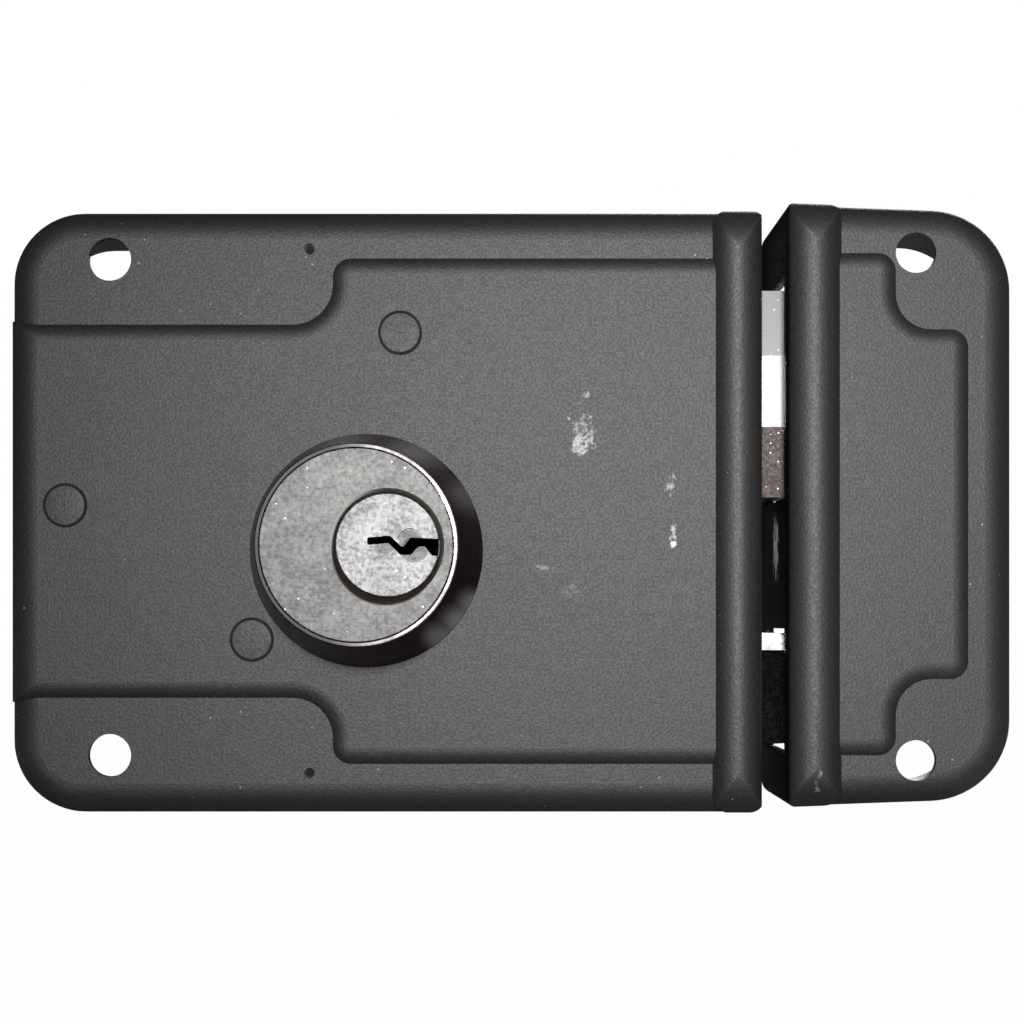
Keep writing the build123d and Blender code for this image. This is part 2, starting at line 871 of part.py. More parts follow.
# Deadbolt head: three facets in front, slotted behind for its tail
bolt_tip = case_edge + bolt_throw
bolt_rivets = [
    (bolt_rivet_x, bolt_bottom + bolt_rivet_inset),
    (bolt_rivet_x, bolt_top - bolt_rivet_inset),
]
with BuildPart() as deadbolt_head:
    with BuildSketch(Plane.YZ.offset(bolt_rear)):
        with BuildLine():
            Polyline(
                (-bolt_back, bolt_bottom),
                (facet_drop - bolt_front, bolt_bottom),
                (-bolt_front, bolt_bottom + facet_lower),
                (-bolt_front, bolt_top - facet_upper),
                (facet_drop - bolt_front, bolt_top),
                (-bolt_back, bolt_top),
                close=True,
            )
        make_face()
    extrude(amount=bolt_tip - bolt_rear)
    chamfer(deadbolt_head.faces().sort_by(Axis.X)[-1].edges(), length=bolt_nose)
    tongue = panel((bolt_rear, bolt_rear + tail_tongue), (tail_bottom, tail_top), tail_back)
    extrude(tongue, amount=tail_thickness, mode=Mode.SUBTRACT)
    for at in bolt_rivets:
        extrude(disc(at, bolt_rivet, bolt_back), amount=bolt_front, mode=Mode.SUBTRACT)
finish(deadbolt_head, "deadbolt_head")

# Deadbolt tail: guide slot, cam notch and two detent notches
notch_x = nose_at[0]
notch_half = cam_nose + notch_clearance
notch_top = cam_reach + cam_nose + notch_clearance
slot_left = guide_stud_x - stud_radius - slot_clearance
slot_right = post_upper_at[0] + bolt_throw + stud_radius + slot_clearance
with BuildPart() as deadbolt_tail:
    with BuildSketch(front_plane(tail_back)):
        with BuildLine():
            Polyline(
                (tail_left, tail_bottom),
                (bolt_rear - running, tail_bottom),
                (bolt_rear - running, bolt_bottom + sheet),
                (bolt_rear + tail_tongue, bolt_bottom + sheet),
                (bolt_rear + tail_tongue, tail_top),
                (tail_left, tail_top),
                close=True,
            )
        make_face()
        with Locations((notch_x, (tail_bottom + notch_top - notch_half) / 2)):
            Rectangle(2 * notch_half, notch_top - notch_half - tail_bottom, mode=Mode.SUBTRACT)
        with Locations((notch_x, notch_top - notch_half)):
            Circle(notch_half, mode=Mode.SUBTRACT)
    extrude(amount=tail_thickness)
    mouth_edges = deadbolt_tail.edges().filter_by(Axis.Y).filter_by_position(
        Axis.X, notch_x - notch_half - running, notch_x + notch_half + running
    )
    fillet(mouth_edges.group_by(Axis.Z)[0], radius=notch_mouth)
    fillet(
        deadbolt_tail.edges().filter_by(Axis.Y).group_by(Axis.X)[0], radius=notch_mouth
    )
    guide = slot(
        (slot_left, slot_right), post_upper_at[1], stud_radius + slot_clearance / 2, tail_back
    )
    extrude(guide, amount=tail_thickness, mode=Mode.SUBTRACT)
    for at in bolt_rivets:
        extrude(disc(at, bolt_rivet, tail_back), amount=tail_thickness, mode=Mode.SUBTRACT)
    for x in (detent_x, detent_x + bolt_throw):
        with BuildSketch(front_plane(tail_back)):
            with BuildLine():
                Polyline(
                    (x - detent_half, tail_top),
                    (x, tail_top - detent_depth),
                    (x + detent_half, tail_top),
                    close=True,
                )
            make_face()
        extrude(amount=tail_thickness, mode=Mode.SUBTRACT)
finish(deadbolt_tail, "deadbolt_tail")

with BuildPart() as deadbolt_rivets:
    for at in bolt_rivets:
        add(turned(at, [(bolt_rivet, bolt_back + rivet_round, bolt_front - facet_drop)]))
finish(deadbolt_rivets, "deadbolt_rivets")

# Detent spring, its bracket on the back plate and the rivet between them
bracket_x = (bracket_left, bracket_left + bracket_width)
bracket_z = (bracket_bottom, strip_anchor + strip / 2 + bracket_sheet)
with BuildPart() as detent_bracket:
    extrude(panel(bracket_x, bracket_z, plate), amount=bracket_sheet)
    extrude(
        panel(bracket_x, (strip_anchor + strip / 2, bracket_z[1]), plate),
        amount=tail_front + 2 * sheet - plate,
    )
    rivet_at = (bracket_middle, -bolt_middle)
    with BuildSketch(Plane.XY.offset(strip_anchor)):
        with Locations(rivet_at):
            Circle(small_rivet)
    extrude(amount=2 * bracket_sheet, mode=Mode.SUBTRACT)
    extrude(disc(plate_rivets[2], small_rivet, plate), amount=bracket_sheet, mode=Mode.SUBTRACT)
finish(detent_bracket, "detent_bracket")

with BuildPart() as detent_spring:
    with BuildSketch(front_plane(bolt_middle - strip_width / 2)):
        with BuildLine() as strip_route:
            FilletPolyline(
                (bracket_x[0] + sheet, strip_anchor),
                (bracket_x[1], strip_anchor),
                (detent_x - detent_flank, strip_dip + detent_lift),
                (detent_x, strip_dip),
                (detent_x + detent_flank, strip_dip + detent_lift),
                (detent_x + detent_tail, strip_dip + detent_tail_lift),
                radius=[strip_bend, detent_bend, detent_point, detent_bend],
            )
        trace(strip_route.edges(), line_width=strip)
    extrude(amount=strip_width)
    with BuildSketch(Plane.XY.offset(strip_anchor - strip)):
        with Locations(rivet_at):
            Circle(small_rivet)
    extrude(amount=2 * strip, mode=Mode.SUBTRACT)
finish(detent_spring, "detent_spring")

with BuildPart() as detent_rivet:
    rivet_steps = [
        (small_rivet_head, strip_anchor - strip / 2 - small_rivet_head_length, strip_anchor - strip / 2),
        (small_rivet, strip_anchor - strip / 2, bracket_z[1]),
        (small_rivet_head, bracket_z[1], bracket_z[1] + small_rivet_head_length),
    ]
    for radius, low, high in rivet_steps:
        with BuildSketch(Plane.XY.offset(low)):
            with Locations(rivet_at):
                Circle(radius)
        extrude(amount=high - low)
finish(detent_rivet, "detent_rivet")

# Latch bolt: a bevel in front below a narrow land, bored behind for its stem
latch_tip = case_edge + latch_travel
with BuildPart() as latch_bolt:
    extrude(
        panel((latch_rear, latch_tip), (latch_bottom, latch_top), bolt_back),
        amount=bolt_front - bolt_back,
    )
    with BuildSketch(Plane.XY.offset(latch_bottom)):
        with BuildLine():
            Polyline(
                (bevel_start, -bolt_front),
                (latch_tip, -bevel_tip),
                (latch_tip, -bolt_front),
                close=True,
            )
        make_face()
    extrude(amount=latch_top - latch_land - latch_bottom, mode=Mode.SUBTRACT)
    with BuildSketch(Plane.YZ.offset(latch_rear)):
        with Locations((-bolt_middle, latch_middle)):
            Circle(stem_radius)
    extrude(amount=stem_socket, mode=Mode.SUBTRACT)
finish(latch_bolt, "latch_bolt")

# Latch stem: round under the spring, then flat, with a guide slot and an eye
pad_left = lever_pin_x - lever_pin - pad_margin
pad_right = lever_pin_x + lever_pin + pad_margin
pin_low = post_side_at[1] - lever_reach - lever_pin - slot_clearance
pin_high = lever_pin_z + lever_pin + slot_clearance
with BuildPart() as latch_stem:
    with BuildSketch(Plane.YZ.offset(stem_flat_right - 2 * sheet)):
        with Locations((-bolt_middle, latch_middle)):
            Circle(stem_radius)
    extrude(amount=latch_rear + stem_socket - stem_flat_right + 2 * sheet)
    half = stem_flat_height / 2
    flat = panel((pad_right - sheet, stem_flat_right), (latch_middle - half, latch_middle + half), tail_back)
    extrude(flat, amount=tail_thickness)
    pad = panel((pad_left, pad_right), (pin_low - sheet, pin_high + sheet), tail_back)
    extrude(pad, amount=tail_thickness)
    eye = panel(
        (lever_pin_x - lever_pin - lever_pin_clearance, lever_pin_x + lever_pin + lever_pin_clearance),
        (pin_low, pin_high),
        tail_back,
    )
    extrude(eye, amount=tail_thickness, mode=Mode.SUBTRACT)
    stem_slot = slot(
        (
            latch_stud_x - latch_stud - slot_clearance,
            latch_stud_x + latch_travel + latch_stud + slot_clearance,
        ),
        latch_middle,
        latch_stud + slot_clearance / 2,
        tail_back,
    )
    extrude(stem_slot, amount=tail_thickness, mode=Mode.SUBTRACT)
finish(latch_stem, "latch_stem")

# Guide bracket that the stem slides through and the latch spring pushes against
with BuildPart() as latch_guide:
    wall = panel((guide_x, guide_x + guide_wall), (latch_bottom, guide_top), plate)
    extrude(wall, amount=bolt_front - plate)
    foot = panel((guide_x, guide_end), (latch_bottom, guide_top), plate)
    extrude(foot, amount=bracket_sheet)
    with BuildSketch(Plane.YZ.offset(guide_x)):
        with Locations((-bolt_middle, latch_middle)):
            Circle(stem_radius + guide_bore_clearance)
    extrude(amount=guide_wall, mode=Mode.SUBTRACT)
    for at in plate_rivets[:2]:
        extrude(disc(at, small_rivet, plate), amount=bracket_sheet, mode=Mode.SUBTRACT)
finish(latch_guide, "latch_guide")

with BuildPart() as bracket_rivets:
    for at in plate_rivets:
        add(
            turned(
                at,
                [
                    (small_rivet, 0, plate + bracket_sheet),
                    (
                        small_rivet_head,
                        plate + bracket_sheet,
                        plate + bracket_sheet + small_rivet_head_length,
                    ),
                ],
            )
        )
finish(bracket_rivets, "bracket_rivets")

spring_from = guide_x + guide_wall + running
spring_room = latch_rear - spring_from - running
with BuildPart() as latch_spring:
    start = Vector(spring_from, -bolt_middle, latch_middle)
    add(coil(start, 1, latch_spring_radius, latch_wire, spring_room, latch_spring_turns))
finish(latch_spring, "latch_spring")

# Latch lever on the side post, and the pin by which it draws the stem
lever_pin_at = (lever_pin_x, lever_pin_z)
with BuildPart() as latch_lever:
    thickness = lever_front - lever_back
    extrude(disc(post_side_at, lever_hub, lever_back), amount=thickness)
    extrude(arm(post_side_at, lever_end, lever_pin_at, lever_end, lever_back), amount=thickness)
    extrude(arm(post_side_at, lever_end, lever_tip_at, lever_tip, lever_back), amount=thickness)
    extrude(disc(post_side_at, post_shank + running, lever_back), amount=thickness, mode=Mode.SUBTRACT)
    extrude(disc(lever_pin_at, lever_pin, lever_back), amount=thickness, mode=Mode.SUBTRACT)
finish(latch_lever, "latch_lever")

with BuildPart() as lever_drive_pin:
    add(
        turned(
            lever_pin_at,
            [
                (lever_pin + strip, lever_back - strip, lever_back),
                (lever_pin, lever_back, tail_front + strip),
            ],
        )
    )
finish(lever_drive_pin, "lever_drive_pin")
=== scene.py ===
import math

import bpy
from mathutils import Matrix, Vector


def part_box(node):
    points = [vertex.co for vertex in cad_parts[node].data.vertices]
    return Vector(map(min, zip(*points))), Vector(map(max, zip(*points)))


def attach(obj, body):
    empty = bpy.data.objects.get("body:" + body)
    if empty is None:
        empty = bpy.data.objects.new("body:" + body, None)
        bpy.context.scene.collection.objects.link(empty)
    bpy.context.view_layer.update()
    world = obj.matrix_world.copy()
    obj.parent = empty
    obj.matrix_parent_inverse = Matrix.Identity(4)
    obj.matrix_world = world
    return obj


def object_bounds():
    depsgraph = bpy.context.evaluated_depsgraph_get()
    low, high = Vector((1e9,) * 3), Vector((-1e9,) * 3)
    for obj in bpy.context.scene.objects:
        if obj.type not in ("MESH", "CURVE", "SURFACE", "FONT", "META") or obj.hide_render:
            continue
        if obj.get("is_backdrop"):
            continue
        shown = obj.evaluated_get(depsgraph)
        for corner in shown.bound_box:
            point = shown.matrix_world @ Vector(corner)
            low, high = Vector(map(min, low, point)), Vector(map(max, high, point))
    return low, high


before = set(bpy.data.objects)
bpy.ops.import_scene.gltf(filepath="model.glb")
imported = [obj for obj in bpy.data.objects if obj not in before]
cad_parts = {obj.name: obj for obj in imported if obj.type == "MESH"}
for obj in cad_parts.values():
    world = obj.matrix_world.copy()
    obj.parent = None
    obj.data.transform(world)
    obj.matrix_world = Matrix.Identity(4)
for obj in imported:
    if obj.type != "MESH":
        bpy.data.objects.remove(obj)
cad_low, cad_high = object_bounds()

# Case cover. Steel sheet pressed to a box with a stepped plateau and a rolled rib, then sprayed with a
# dark enamel and stoved. The enamel dries to a sandy skin with a few bright flecks in it, and the front
# has pale rub marks from handling.


def wired(tree, kind, wires=None, **settings):
    """A shader node with its settings; wires give its inputs, each a value or another node's output."""
    made = tree.nodes.new("ShaderNode" + kind)
    for name, value in settings.items():
        setattr(made, name, value)
    for place, value in (wires or {}).items():
        if isinstance(value, bpy.types.NodeSocket):
            tree.links.new(value, made.inputs[place])
        else:
            made.inputs[place].default_value = value
    return made


def between(tree, value, low, high, start=0.0, end=1.0):
    """The value's place between low and high, eased and held at both ends, as start to end."""
    places = {"Value": value, "From Min": low, "From Max": high, "To Min": start, "To Max": end}
    return wired(tree, "MapRange", places, interpolation_type="SMOOTHSTEP").outputs["Result"]


def sums(tree, operation, first, second):
    """The result of one sum on two values."""
    return wired(tree, "Math", {0: first, 1: second}, operation=operation).outputs[0]


def across(tree, operation, first, second):
    """The result of one sum on two vectors."""
    return wired(tree, "VectorMath", {0: first, 1: second}, operation=operation).outputs[0]


def noise(tree, place, waves, detail, roughness=0.6):
    """A noise with this many waves to the metre."""
    wires = {"Vector": place, "Scale": waves, "Detail": detail, "Roughness": roughness}
    return wired(tree, "TexNoise", wires).outputs[0]


def along(tree, place, axis):
    """How far the place lies along the X, Y or Z axis."""
    return wired(tree, "SeparateXYZ", {0: place}).outputs[axis]


def colours(tree, share, first, second):
    """A blend from the first colour to the second."""
    return wired(tree, "Mix", {0: share, 6: first, 7: second}, data_type="RGBA").outputs[2]


def effect(name, inputs, outputs):
    """A shader group with its sockets: inputs as name, kind and value, outputs as names of values."""
    tree = bpy.data.node_groups.new(name, "ShaderNodeTree")
    for label, kind, value in inputs:
        made = tree.interface.new_socket(label, in_out="INPUT", socket_type="NodeSocket" + kind)
        made.default_value = value
    for label in outputs:
        tree.interface.new_socket(label, in_out="OUTPUT", socket_type="NodeSocketFloat")
    return tree, tree.nodes.new("NodeGroupInput").outputs, tree.nodes.new("NodeGroupOutput").inputs


def placed(tree, group, **wires):
    """The outputs of an effect placed in a material."""
    made = tree.nodes.new("ShaderNodeGroup")
    made.node_tree = group
    for name, value in wires.items():
        place = made.inputs[name.replace("_", " ")]
        if isinstance(value, bpy.types.NodeSocket):
            tree.links.new(value, place)
        else:
            place.default_value = value
    return made.outputs


def finish_of(name):
    """A new material: its tree, its shader and the place on the part that is being shaded."""
    material = bpy.data.materials.new(name)
    material.use_nodes = True
    tree = material.node_tree
    shader = tree.nodes["Principled BSDF"]
    return material, tree, shader, wired(tree, "TexCoord").outputs["Object"]


def relief(tree, shader, height, depth):
    """A surface relief of this depth in metres."""
    bump = wired(tree, "Bump", {"Height": height, "Distance": depth, "Strength": 1.0})
    tree.links.new(bump.outputs["Normal"], shader.inputs["Normal"])


def dressed(material, *names):
    """Puts the material on CAD nodes, in their own slots."""
    for name in names:
        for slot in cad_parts[name].material_slots:
            slot.material = material


# The sandy skin: waves to the metre of its sand, swells and clouds, and the cells that may hold a fleck.
SAND = 3100.0
SWELL = 900.0
CLOUD = 190.0
FLECK_CELLS = 1300.0
FLECK_SHARE = 0.03
grain, ins, outs = effect(
    "sandy_skin",
    [("Place", "Vector", (0, 0, 0)), ("Grain", "Float", SAND), ("Fleck Share", "Float", FLECK_SHARE)],
    ["Sand", "Height", "Cloud", "Fleck"],
)
sand = sums(grain, "MULTIPLY", noise(grain, ins["Place"], ins["Grain"], 1.0), 0.8)
swell = sums(grain, "MULTIPLY", noise(grain, ins["Place"], SWELL, 2.0, 0.5), 0.2)
height = sums(grain, "ADD", sand, swell)
cloud = noise(grain, ins["Place"], CLOUD, 3.0)
cells = wired(grain, "TexVoronoi", {"Vector": ins["Place"], "Scale": FLECK_CELLS}).outputs
chance = wired(grain, "SeparateColor", {0: cells["Color"]}).outputs
rare = sums(grain, "LESS_THAN", chance[0], ins["Fleck Share"])
speck = between(grain, cells["Distance"], 0.06, 0.2, 1.0, 0.0)
bright = sums(grain, "POWER", chance[1], 3.0)
grain.links.new(between(grain, height, 0.34, 0.66), outs["Sand"])
grain.links.new(height, outs["Height"])
grain.links.new(between(grain, cloud, 0.38, 0.62), outs["Cloud"])
grain.links.new(sums(grain, "MULTIPLY", sums(grain, "MULTIPLY", rare, speck), bright), outs["Fleck"])

# A rub mark, also used for a painted glint: streaky specks that thin out towards a ragged edge.
RAGS = 700.0
RAGGEDNESS = 1.2
rub_and_glint, ins, outs = effect(
    "rub_and_glint_mark",
    [
        ("Place", "Vector", (0, 0, 0)),
        ("Middle", "Vector", (0, 0, 0)),
        ("Spread", "Vector", (1, 1, 1)),
        ("Streaks", "Vector", (1, 1, 1)),
        ("Bareness", "Float", 0.5),
    ],
    ["Mask"],
)
reach = across(rub_and_glint, "DIVIDE", across(rub_and_glint, "SUBTRACT", ins["Place"], ins["Middle"]), ins["Spread"])
away = wired(rub_and_glint, "VectorMath", {0: reach}, operation="LENGTH").outputs["Value"]
specks = noise(rub_and_glint, across(rub_and_glint, "MULTIPLY", ins["Place"], ins["Streaks"]), 1.0, 2.0)
torn = sums(rub_and_glint, "SUBTRACT", noise(rub_and_glint, ins["Place"], RAGS, 2.0), 0.5)
ragged = sums(rub_and_glint, "ADD", away, sums(rub_and_glint, "MULTIPLY", torn, RAGGEDNESS))
marked = sums(rub_and_glint, "MULTIPLY", ins["Bareness"], between(rub_and_glint, ragged, 0.1, 1.1, 1.0, 0.0))
cut = sums(rub_and_glint, "SUBTRACT", 1.0, marked)
rub_and_glint.links.new(between(rub_and_glint, sums(rub_and_glint, "SUBTRACT", specks, cut), -0.04, 0.3), outs["Mask"])

ENAMEL_PIT_AND_SHADE = (0.004, 0.003, 0.0025, 1)
ENAMEL_WARM = (0.021, 0.0165, 0.0125, 1)
ENAMEL_COOL = (0.0175, 0.015, 0.021, 1)
FLECK = (0.7, 0.7, 0.7, 1)
ENAMEL_ROUGH = (0.645, 0.58)
ENAMEL_RELIEF = 0.00006
WHOLE_GLOSS = 1.0
BLUE_CAST = 1.05


def sandy(tree, shader, place):
    """The colour and roughness of the sandy enamel, whose grains also set its relief."""
    skin = placed(tree, grain, Place=place)
    shader.inputs["Specular IOR Level"].default_value = WHOLE_GLOSS
    relief(tree, shader, skin["Height"], ENAMEL_RELIEF)
    crest = colours(tree, skin["Cloud"], ENAMEL_WARM, ENAMEL_COOL)
    colour = colours(tree, skin["Sand"], ENAMEL_PIT_AND_SHADE, crest)
    rough = between(tree, skin["Sand"], 0.0, 1.0, *ENAMEL_ROUGH)
    return colours(tree, skin["Fleck"], colour, FLECK), rough


def spot_at(tree, place, middle, inner, outer):
    """A mask that is one within the inner distance of a place (x, z) and none past the outer one."""
    flat = across(tree, "MULTIPLY", place, (1, 0, 1))
    wires = {0: flat, 1: (middle[0], 0, middle[1])}
    away = wired(tree, "VectorMath", wires, operation="DISTANCE").outputs["Value"]
    return between(tree, away, inner, outer, 1.0, 0.0)


PIP = (0.0005, 0.0008)
WALL_EDGE = (0.0006, 0.0001)
WALL_GLOSS = 0.08


def enamel(name, marks, pips=(), wall=None):
    """The enamel with its rub marks and painted glints, each its middle, spread, streaks per metre, weight
    and tone, painted shade in its pips, and up to the x given as wall a wall in the gap, painted dark as
    shade and made dull."""
    material, tree, shader, place = finish_of(name)
    colour, rough = sandy(tree, shader, place)
    if wall is not None:
        # The wall in the gap is painted dark as shade, and its gloss is turned down.
        gap_shade = between(tree, along(tree, place, "X"), wall + WALL_EDGE[0], wall + WALL_EDGE[1])
        colour = colours(tree, gap_shade, colour, ENAMEL_PIT_AND_SHADE)
        gloss = between(tree, gap_shade, 0.0, 1.0, WHOLE_GLOSS, WALL_GLOSS)
        tree.links.new(gloss, shader.inputs["Specular IOR Level"])
    for middle, spread, streaks, weight, tone in marks:
        sizes = {"Middle": middle, "Spread": spread, "Streaks": streaks, "Bareness": weight}
        mark = placed(tree, rub_and_glint, Place=place, **sizes)["Mask"]
        colour = colours(tree, mark, colour, (tone, tone, BLUE_CAST * tone, 1))
    # Each pip is painted dark and dull as the shade in its dimple.
    for middle in pips:
        pip = spot_at(tree, place, middle, *PIP)
        colour = colours(tree, pip, colour, ENAMEL_PIT_AND_SHADE)
        rough = sums(tree, "MAXIMUM", rough, pip)
    tree.links.new(colour, shader.inputs["Base Color"])
    tree.links.new(rough, shader.inputs["Roughness"])
    return material


FINE = (2600, 900, 2600)
DRAGGED = (2800, 900, 1300)
WIPED = (900, 900, 2600)
PLATEAU = -0.0242
DEEP = 0.004
case_enamel = enamel(
    "case_enamel",
    [
        ((0.0239, PLATEAU, 0.0150), (0.0036, DEEP, 0.0064), FINE, 0.64, 0.32),
        ((0.0237, PLATEAU, 0.0136), (0.0030, DEEP, 0.0026), FINE, 0.7, 0.5),
        ((0.0244, PLATEAU, 0.0201), (0.0011, DEEP, 0.0013), FINE, 0.66, 0.3),
        ((0.0353, PLATEAU, 0.0085), (0.0011, DEEP, 0.0032), DRAGGED, 0.66, 0.38),
        ((0.0355, PLATEAU, 0.0022), (0.0010, DEEP, 0.0026), DRAGGED, 0.68, 0.5),
        ((0.0356, PLATEAU, 0.0008), (0.0008, DEEP, 0.0010), FINE, 0.88, 0.8),
        ((0.0230, PLATEAU, -0.0050), (0.0034, DEEP, 0.0024), FINE, 0.58, 0.16),
        ((0.0190, PLATEAU, -0.0021), (0.0034, DEEP, 0.0008), WIPED, 0.66, 0.2),
    ],
    pips=[(-0.0111, 0.0388), (-0.0111, -0.0286)],
)
dressed(case_enamel, "case_cover")

# Posts. Three turned steel posts riveted through the front of the cover, so that only their heads show,
# each struck to a low dome and sprayed over with the case, with a painted shadow line round it and painted
# shade in the punch mark at its middle. Behind the sheet they are bare zinc-plated steel.
POST_ZINC = (0.42, 0.42, 0.41, 1)
SHEET = (-0.0229, -0.0233)
SEAM_OUTSIDE = (0.0040, 0.0041)
SEAM_INSIDE = (0.0023, 0.00255)
PUNCH_MARK = (0.00005, 0.0002)
HEAD_RADIUS = 0.0025
HEAD_RISE = 0.00012
HEAD_STEPS = 10


def lathed(name, at, profile, turns=96):
    """A turned skin on an axis along Y at a place (x, z), from its profile of (radius, y), middle first."""
    rings = profile[1:]
    corners = [(at[0], profile[0][1], at[1])]
    for radius, y in rings:
        for turn in range(turns):
            angle = 2 * math.pi * turn / turns
            corners.append((at[0] + radius * math.cos(angle), y, at[1] + radius * math.sin(angle)))
    faces = [(0, 1 + turn, 1 + (turn + 1) % turns) for turn in range(turns)]
    for ring in range(len(rings) - 1):
        near, far = 1 + ring * turns, 1 + (ring + 1) * turns
        for turn in range(turns):
            after = (turn + 1) % turns
            faces.append((near + turn, far + turn, far + after, near + after))
    mesh = bpy.data.meshes.new(name)
    mesh.from_pydata(corners, [], faces)
    mesh.shade_smooth()
    piece = bpy.data.objects.new(name, mesh)
    bpy.context.scene.collection.objects.link(piece)
    return piece


def middle_of(name):
    """The middle (x, z) of a CAD node."""
    low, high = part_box(name)
    return (low.x + high.x) / 2, (low.z + high.z) / 2


post_finish, tree, shader, place = finish_of("enamelled_post_heads")
colour, rough = sandy(tree, shader, place)
sprayed = between(tree, along(tree, place, "Y"), *SHEET)
for post in ("post_upper", "post_lower", "post_side"):
    middle = middle_of(post)
    # The ring round each head and the dot at its middle are painted shade, dark and dull.
    whole = spot_at(tree, place, middle, *SEAM_OUTSIDE)
    seam_shade = sums(tree, "SUBTRACT", whole, spot_at(tree, place, middle, *SEAM_INSIDE))
    seam_shade = sums(tree, "MAXIMUM", seam_shade, spot_at(tree, place, middle, *PUNCH_MARK))
    colour = colours(tree, seam_shade, colour, ENAMEL_PIT_AND_SHADE)
    rough = sums(tree, "MAXIMUM", rough, seam_shade)
    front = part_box(post)[0].y
    shares = [step / HEAD_STEPS for step in range(HEAD_STEPS + 1)]
    dome = [(HEAD_RADIUS * share, front - HEAD_RISE * (1 - share**2)) for share in shares]
    head = lathed(post + "_head", middle, dome)
    head.data.materials.append(post_finish)
    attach(head, "lock")
    dressed(post_finish, post)
tree.links.new(colours(tree, sprayed, POST_ZINC, colour), shader.inputs["Base Color"])
tree.links.new(sums(tree, "SUBTRACT", 1.0, sprayed), shader.inputs["Metallic"])
tree.links.new(rough, shader.inputs["Roughness"])

# Plates inside the case. Stamped steel parts, tumbled and zinc plated: a blotchy pale grey skin with a
# faint warm and blue cast, over fine rolling lines of the sheet.
BLOTCHES = 330.0
PIT_CELLS = 1900.0
lines, ins, outs = effect(
    "drawn_lines",
    [("Place", "Vector", (0, 0, 0)), ("Pitch", "Vector", (300, 300, 6000)), ("Pit Share", "Float", 0.02)],
    ["Height", "Tone", "Pit"],
)
strokes = noise(lines, across(lines, "MULTIPLY", ins["Place"], ins["Pitch"]), 1.0, 4.0)
pits = wired(lines, "TexVoronoi", {"Vector": ins["Place"], "Scale": PIT_CELLS}).outputs
chance = wired(lines, "SeparateColor", {0: pits["Color"]}).outputs[0]
rare = sums(lines, "LESS_THAN", chance, ins["Pit Share"])
speck = between(lines, pits["Distance"], 0.12, 0.3, 1.0, 0.0)
lines.links.new(strokes, outs["Height"])
lines.links.new(noise(lines, ins["Place"], BLOTCHES, 4.0), outs["Tone"])
lines.links.new(sums(lines, "MULTIPLY", rare, speck), outs["Pit"])


def metal(name, dark, light, rough, pitch, pit_share, pit_colour, depth):
    """A bare or plated metal: two colours in patches, a range of roughness, drawn lines and pits."""
    material, tree, shader, place = finish_of(name)
    drawn = placed(tree, lines, Place=place, Pitch=pitch, Pit_Share=pit_share)
    mixed = colours(tree, between(tree, drawn["Tone"], 0.35, 0.65), dark, light)
    tree.links.new(colours(tree, drawn["Pit"], mixed, pit_colour), shader.inputs["Base Color"])
    shader.inputs["Metallic"].default_value = 1.0
    tree.links.new(between(tree, drawn["Height"], 0.3, 0.7, *rough), shader.inputs["Roughness"])
    relief(tree, shader, drawn["Height"], depth)
    return material


zinc = metal(
    "zinc_plated_sheet",
    dark=(0.44, 0.44, 0.45, 1),
    light=(0.6, 0.58, 0.53, 1),
    rough=(0.3, 0.46),
    pitch=(500, 3000, 900),
    pit_share=0.02,
    pit_colour=(0.3, 0.28, 0.26, 1),
    depth=0.000006,
)
dressed(zinc, "back_plate", "detent_bracket", "latch_guide", "bolt_spacer", "lever_spacer", "latch_lever")

# Turned parts and rivets. Machined steel with fine lathe rings, oiled, a little darker than the plated
# sheet.
turned_steel = metal(
    "turned_steel",
    dark=(0.36, 0.35, 0.34, 1),
    light=(0.47, 0.46, 0.45, 1),
    rough=(0.26, 0.42),
    pitch=(700, 5200, 700),
    pit_share=0.015,
    pit_colour=(0.2, 0.19, 0.18, 1),
    depth=0.000005,
)
dressed(turned_steel, "back_plate_screws", "bolt_guide_stud", "latch_guide_stud", "bracket_rivets")
dressed(turned_steel, "detent_rivet", "drive_cam", "cam_cross_pin", "lever_drive_pin", "latch_stem")

# Springs and clip. Spring wire and strip, hardened and tempered from dark straw to blue, with a drawn
# surface.
spring_wire = metal(
    "tempered_spring",
    dark=(0.2, 0.17, 0.14, 1),
    light=(0.15, 0.17, 0.22, 1),
    rough=(0.24, 0.4),
    pitch=(3000, 3000, 900),
    pit_share=0.03,
    pit_colour=(0.08, 0.07, 0.06, 1),
    depth=0.000004,
)
dressed(spring_wire, "detent_spring", "latch_spring", "pin_springs", "plug_clip")

# Latch bolt, and the rivets that hold the deadbolt to its tail. Both are of bright drawn steel, ground,
# with a few pits that sparkle.
BRIGHT_PIT = (0.9, 0.88, 0.86, 1)
bolt_steel = metal(
    "ground_bolt_steel",
    dark=(0.5, 0.49, 0.48, 1),
    light=(0.62, 0.61, 0.6, 1),
    rough=(0.22, 0.3),
    pitch=(420, 1200, 1500),
    pit_share=0.05,
    pit_colour=BRIGHT_PIT,
    depth=0.000006,
)
dressed(bolt_steel, "deadbolt_rivets", "latch_bolt")

